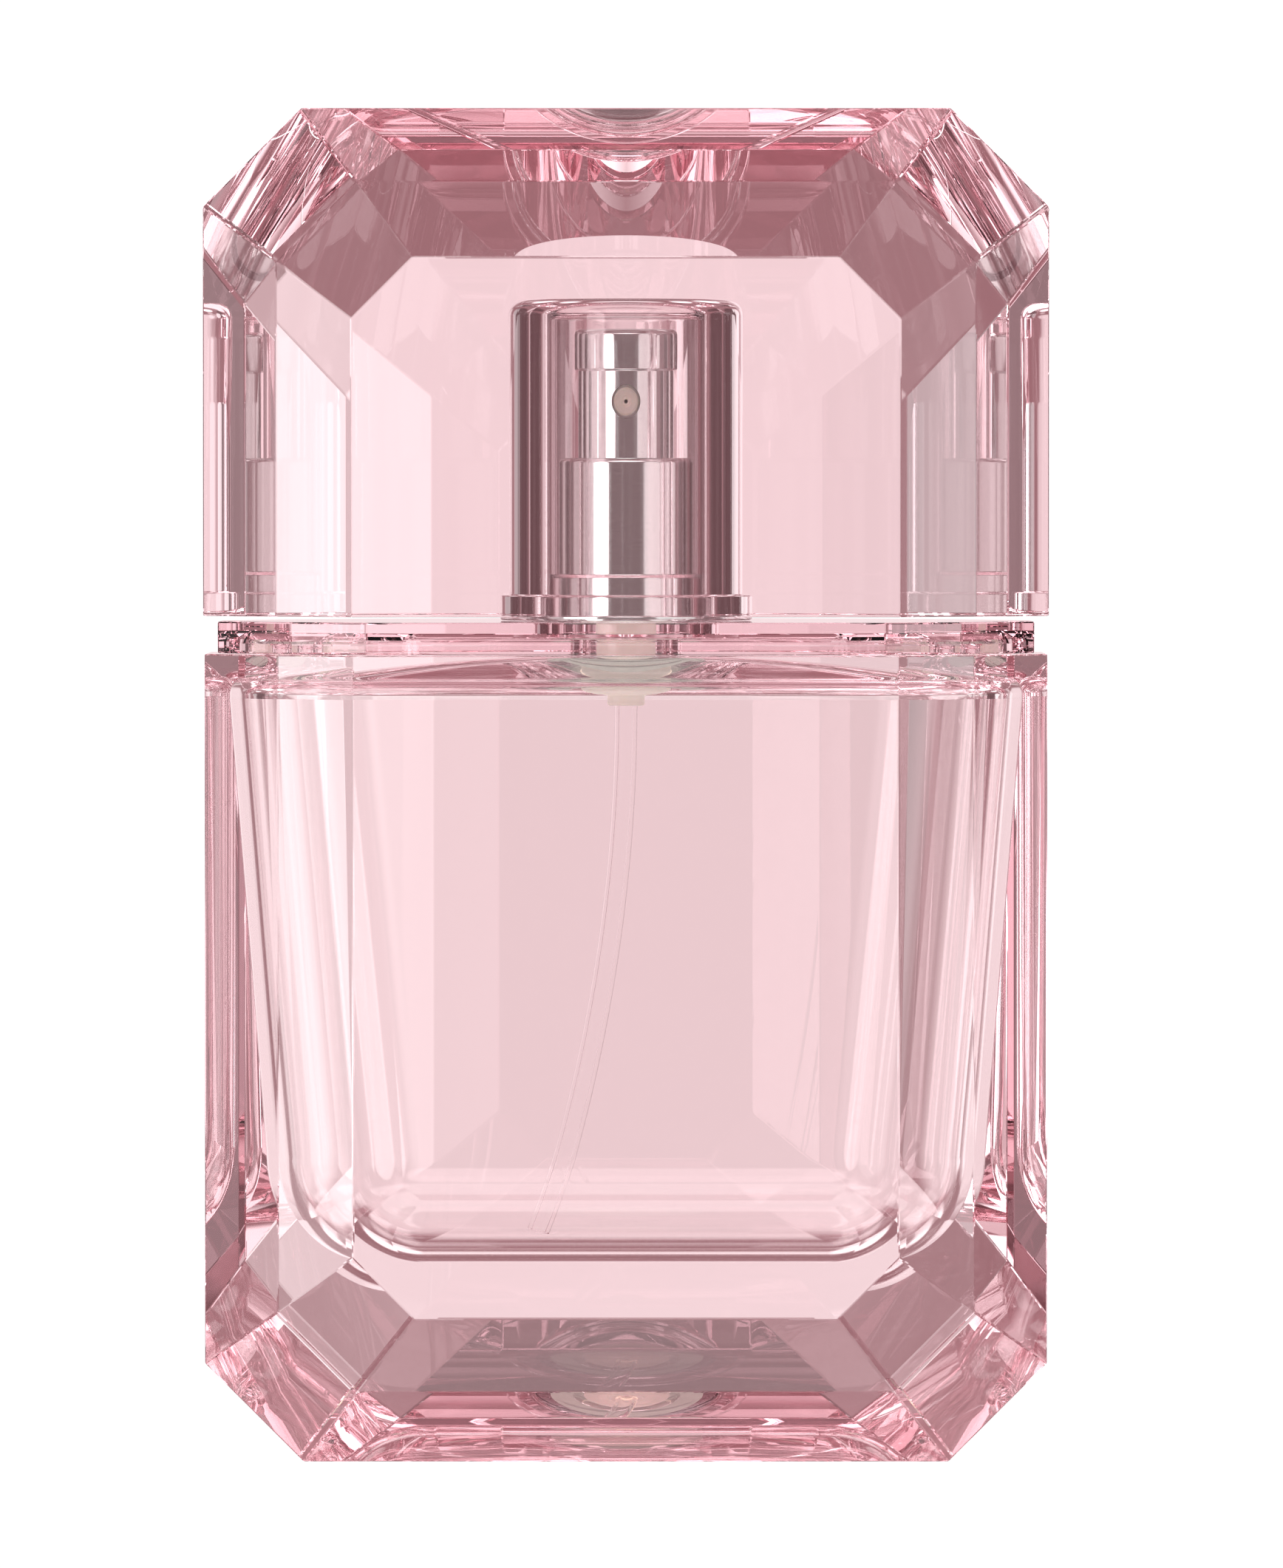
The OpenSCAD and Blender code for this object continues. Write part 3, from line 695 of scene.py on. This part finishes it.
housingShape = {
    "mouth": 2.85 * mm,
    "mouthDepth": 0.7 * mm,
    "flange": 0.8 * mm,
    "barrel": 3.2 * mm,
    "chamber": 2.35 * mm,
    "chamberDepth": 9.2 * mm,
    "bowl": 2.1 * mm,
    "bowlSteps": ((0.88, 1.05 * mm), (0.66, 1.8 * mm)),  # share of the barrel, depth below the chamber
    "tail": 1.32 * mm,
    "tube": 0.82 * mm,
    "tubeStop": 0.3 * mm,
    "duct": 0.5 * mm,
    "ballSeat": 0.95 * mm,
    "ballSeatFrom": 1.1 * mm,
    "ballSeatTo": 1.7 * mm,
    "radii": np.array([0.1, 0.2, 0.2, 0.3, 2, 2, 1, 0.5, 0.2, 0.1, 0, 0, 0, 0, 0.1, 0, 0.1, 0]) * mm,
}
stemShape = {
    "bore": 0.5 * mm,
    "slack": 0.02 * mm,
    "edge": 0.1 * mm,
}


def buildHousing():
    # a turned housing: flange, barrel and rounded bowl outside; mouth, chamber, the ball's seat, a
    # duct and the tube's socket inside
    low, high = corners("pump_housing")
    s = housingShape
    foot, top, flangeR = low[2], high[2], high[0]
    flangeLow, seat = top - s["flange"], top - s["mouthDepth"]
    floor = seat - s["chamberDepth"]
    bowlLow = floor - s["bowl"]
    stop, barrel, duct, ball = bowlLow - s["tubeStop"], s["barrel"], s["duct"], s["ballSeat"]
    bowl = [(barrel * share, floor - depth) for share, depth in s["bowlSteps"]]
    outline = rounded([(s["mouth"], top), (flangeR, top), (flangeR, flangeLow), (barrel, flangeLow),
                       (barrel, floor), *bowl, (s["tail"], bowlLow), (s["tail"], foot),
                       (s["tube"], foot), (s["tube"], stop), (duct, stop),
                       (duct, floor - s["ballSeatTo"]), (ball, floor - s["ballSeatFrom"]),
                       (ball, floor), (s["chamber"], floor), (s["chamber"], seat), (s["mouth"], seat)],
                      s["radii"], 5)
    made = meshFrom("pumpHousing", *lathe(outline, 128))
    return piece("pumpHousing", made, plasticMilky, "bottle", ["pump_housing"])


def buildStem():
    # a turned tube, slimmer than its socket by the slack
    low, high = corners("pump_stem")
    s = stemShape
    bore, r, foot, top = s["bore"], high[0] - s["slack"], low[2], high[2]
    outline = rounded([(bore, foot), (r, foot), (r, top), (bore, top)], s["edge"], 3)
    made = meshFrom("pumpStem", *lathe(outline, 96))
    return piece("pumpStem", made, plasticWhite, "plunger", ["pump_stem"])


buildHousing()
buildStem()
print("pump made")

# pieces whose own mesh is fine enough keep it and only take a finish
for node, material in {
    "neck_gasket": rubberPale, "crimp_ferrule": aluminiumCrimp, "pump_turret": plasticWhite,
    "stem_seal": rubberDark, "inlet_ball": steelBall, "dip_tube": tubeClear,
    "pump_piston": plasticWhite, "piston_pin": plasticWhite,
    "return_spring": steelWire, "actuator_core": plasticWhite,
}.items():
    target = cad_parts[node]
    target.data.materials.clear()
    target.data.materials.append(material)


# studio: floor, light tent and camera

studio = {
    "floorSize": 6.0,
    "whiteLevel": 1.05,
}


def paperMaterial(name, colour, glow):
    # sheet paper lit evenly from both sides: a flat glow with a very faint mottle
    made, tree = blankMaterial(name)
    place = addNode(tree, "ShaderNodeTexCoord")
    mottle = addNode(tree, "ShaderNodeTexNoise", {"Scale": 3.0, "Detail": 2.0},
                     {"Vector": (place, "Object")})
    lift = addNode(tree, "ShaderNodeMapRange", {"To Min": 0.99, "To Max": 1.01},
                   {"Value": (mottle, "Fac")})
    tone = addNode(tree, "ShaderNodeHueSaturation", {"Color": linearColour(colour)},
                   {"Value": (lift, "Result")})
    lamp = addNode(tree, "ShaderNodeEmission", {"Strength": glow}, {"Color": (tone, "Color")})
    addNode(tree, "ShaderNodeOutputMaterial", None, {"Surface": (lamp, "Emission")})
    return made


def buildFloor():
    # one square sheet at height 0, seen by the eye only, so that the tent alone lights the object
    half = studio["floorSize"] / 2
    grid = np.array([(-half, -half, 0), (half, -half, 0), (half, half, 0), (-half, half, 0)])
    made = objectOf("studioFloor", meshFrom("studioFloor", grid, [[0, 1, 2, 3]], smooth=False))
    made.data.materials.append(paperMaterial("whitePaperSweep", "#ffffff", studio["whiteLevel"]))
    made.visible_transmission = False
    made.visible_glossy = False
    made.visible_diffuse = False


buildFloor()

# the light tent: a rosy cloth all round, white lamps that add to it and dark flags that shade it.
# Each lamp or flag lies in a direction seen from the object: turn is the angle from straight behind
# towards +X, height the angle above the floor, wide and tall the half sizes of its even middle and
# edge its soft border, all in degrees. A lamp's level is its light, a flag's is the share
# of the cloth's light that it adds, so it is below zero
tent = {
    "cloth": (0.35, 0.181, 0.198),
    "lamps": {
        "backdrop": {"turn": 1, "height": -1, "wide": 26, "tall": 17, "edge": 7, "level": 0.52},
        "backMiddle": {"turn": 0, "height": 0, "wide": 14, "tall": 17, "edge": 3, "level": 0.09},
        "backRight": {"turn": 27, "height": 0, "wide": 11, "tall": 17, "edge": 5, "level": 0.27},
        "sideRight": {"turn": 48, "height": 0, "wide": 7, "tall": 13, "edge": 4, "level": 0.85},
        "sideLeft": {"turn": -48, "height": 0, "wide": 6, "tall": 13, "edge": 4, "level": 0.38},
        "upRight": {"turn": 28, "height": 23, "wide": 6, "tall": 5, "edge": 3, "level": 0.35},
        "upLeft": {"turn": -28, "height": 23, "wide": 6, "tall": 5, "edge": 3, "level": 0.3},
        "under": {"turn": 180, "height": -60, "wide": 200, "tall": 13, "edge": 6, "level": 1.9},
        "over": {"turn": 0, "height": 66, "wide": 75, "tall": 8, "edge": 7, "level": 0.6},
        "overLeft": {"turn": -46, "height": 38, "wide": 12, "tall": 8, "edge": 5, "level": 1.1},
        "overRight": {"turn": 44, "height": 38, "wide": 12, "tall": 8, "edge": 5, "level": 1.4},
        "leftBox": {"turn": -129, "height": -3, "wide": 17, "tall": 30, "edge": 4, "level": 3.2},
        "leftEdge": {"turn": -100, "height": 8, "wide": 7, "tall": 30, "edge": 7, "level": 0.5},
        "rightBox": {"turn": 124, "height": 0, "wide": 20, "tall": 28, "edge": 6, "level": 1.0},
        "frontTop": {"turn": 180, "height": 40, "wide": 50, "tall": 12, "edge": 6, "level": 2.2},
        "front": {"turn": 180, "height": 0, "wide": 36, "tall": 18, "edge": 8, "level": 0.14},
        "frontLow": {"turn": 180, "height": -38, "wide": 45, "tall": 7, "edge": 4, "level": 0.45},
    },
    "flags": {
        "leftFlag": {"turn": -64, "height": 3, "wide": 20, "tall": 14, "edge": 7, "level": -0.6},
        "rightFlag": {"turn": 68, "height": 3, "wide": 18, "tall": 14, "edge": 7, "level": -0.6},
        "frontFlag": {"turn": 180, "height": 0, "wide": 36, "tall": 18, "edge": 8, "level": -0.5},
        "overFlag": {"turn": 0, "height": 47, "wide": 30, "tall": 8, "edge": 4, "level": -0.45},
    },
}


def buildTent():
    # light = sum of lamp level * window + cloth colour * (1 + sum of flag level * window). A window
    # is one inside, falling to zero over its edge, by the length of (angle to its middle / its half
    # size, across and up). The eye itself sees plain white round the object
    world = bpy.data.worlds.new("lightTent")
    scene.world = world
    world.use_nodes = True
    tree = world.node_tree
    tree.nodes.clear()

    def worked(operation, *values):
        # a Math node fed by numbers, sockets or the first output of other nodes
        made = addNode(tree, "ShaderNodeMath", {"operation": operation})
        for index, value in enumerate(values):
            if isinstance(value, (int, float)):
                made.inputs[index].default_value = value
            else:
                source = value.outputs[0] if isinstance(value, bpy.types.Node) else value
                tree.links.new(source, made.inputs[index])
        return made

    place = addNode(tree, "ShaderNodeTexCoord")
    split = addNode(tree, "ShaderNodeSeparateXYZ", None, {"Vector": (place, "Generated")})
    turn = worked("ARCTAN2", split.outputs["X"], split.outputs["Y"])
    height = worked("ARCSINE", split.outputs["Z"])

    def spread(start, windows):
        # start plus every window's level times its soft ellipse
        total = start
        for window in windows.values():
            edge = window["edge"]
            across = worked("SUBTRACT", turn, math.radians(window["turn"]))
            shift = worked("WRAP", across, math.pi, -math.pi)
            lift = worked("SUBTRACT", height, math.radians(window["height"]))
            side = worked("DIVIDE", shift, math.radians(window["wide"] + edge))
            rise = worked("DIVIDE", lift, math.radians(window["tall"] + edge))
            squares = worked("MULTIPLY", side, side), worked("MULTIPLY", rise, rise)
            away = worked("SQRT", worked("ADD", *squares))
            inner = min(window["wide"], window["tall"])
            fall = addNode(tree, "ShaderNodeMapRange",
                           {"interpolation_type": "SMOOTHSTEP",
                            "From Min": inner / (inner + edge), "From Max": 1.0,
                            "To Min": 1.0, "To Max": 0.0}, {"Value": (away, 0)})
            total = worked("MULTIPLY_ADD", fall, window["level"], total)
        return total

    lamps = addNode(tree, "ShaderNodeBackground", {"Color": (1, 1, 1, 1)},
                    {"Strength": (spread(0.0, tent["lamps"]), 0)})
    cloth = addNode(tree, "ShaderNodeBackground", {"Color": (*tent["cloth"], 1)},
                    {"Strength": (spread(1.0, tent["flags"]), 0)})
    lit = addNode(tree, "ShaderNodeAddShader", None, {0: (lamps, 0), 1: (cloth, 0)})
    plain = addNode(tree, "ShaderNodeBackground",
                    {"Color": (1, 1, 1, 1), "Strength": studio["whiteLevel"]})
    path = addNode(tree, "ShaderNodeLightPath")
    chosen = addNode(tree, "ShaderNodeMixShader", None,
                     {0: (path, "Is Camera Ray"), 1: (lit, 0), 2: (plain, 0)})
    addNode(tree, "ShaderNodeOutputWorld", None, {"Surface": (chosen, 0)})


buildTent()

cameraView = {
    "lens": 300,
    "sensor": 36,
    "elevation": 1.4,
    "heightShare": 0.8636,
    "aimRight": 1.1 * mm,
    "aimUp": 0.12 * mm,
}


def buildCamera():
    # distance from similar triangles: lens / sensor = distance / height seen. The eye is back and
    # a little above, and aims at the girdle of the front facets
    view = cameraView
    data = bpy.data.cameras.new("studioCamera")
    data.lens, data.sensor_width = view["lens"], view["sensor"]
    low, high = cadBounds
    seen = (high[2] - low[2]) / view["heightShare"]
    distance = view["lens"] / data.sensor_width * seen
    e = math.radians(view["elevation"])
    back = Vector((0, -math.cos(e), math.sin(e)))
    girdle = low[1] + stoneCut["frontDrops"][1]
    middleX, middleZ = (low[0] + high[0]) / 2, (low[2] + high[2]) / 2
    aim = Vector((middleX + view["aimRight"], girdle, middleZ + view["aimUp"]))
    made = bpy.data.objects.new("studioCamera", data)
    scene.collection.objects.link(made)
    made.location = aim + back * distance
    made.rotation_mode = "QUATERNION"
    made.rotation_quaternion = (-back).to_track_quat("-Z", "Y")
    data.clip_start, data.clip_end = 0.01, 20
    scene.camera = made


buildCamera()

# many bounces, because a ray crosses several cut faces of glass and acrylic before it leaves
scene.view_settings.view_transform = "Standard"
scene.cycles.max_bounces = 32
scene.cycles.transmission_bounces = 32
scene.cycles.glossy_bounces = 16
scene.cycles.caustics_refractive = True
scene.cycles.caustics_reflective = True
print("studio made")
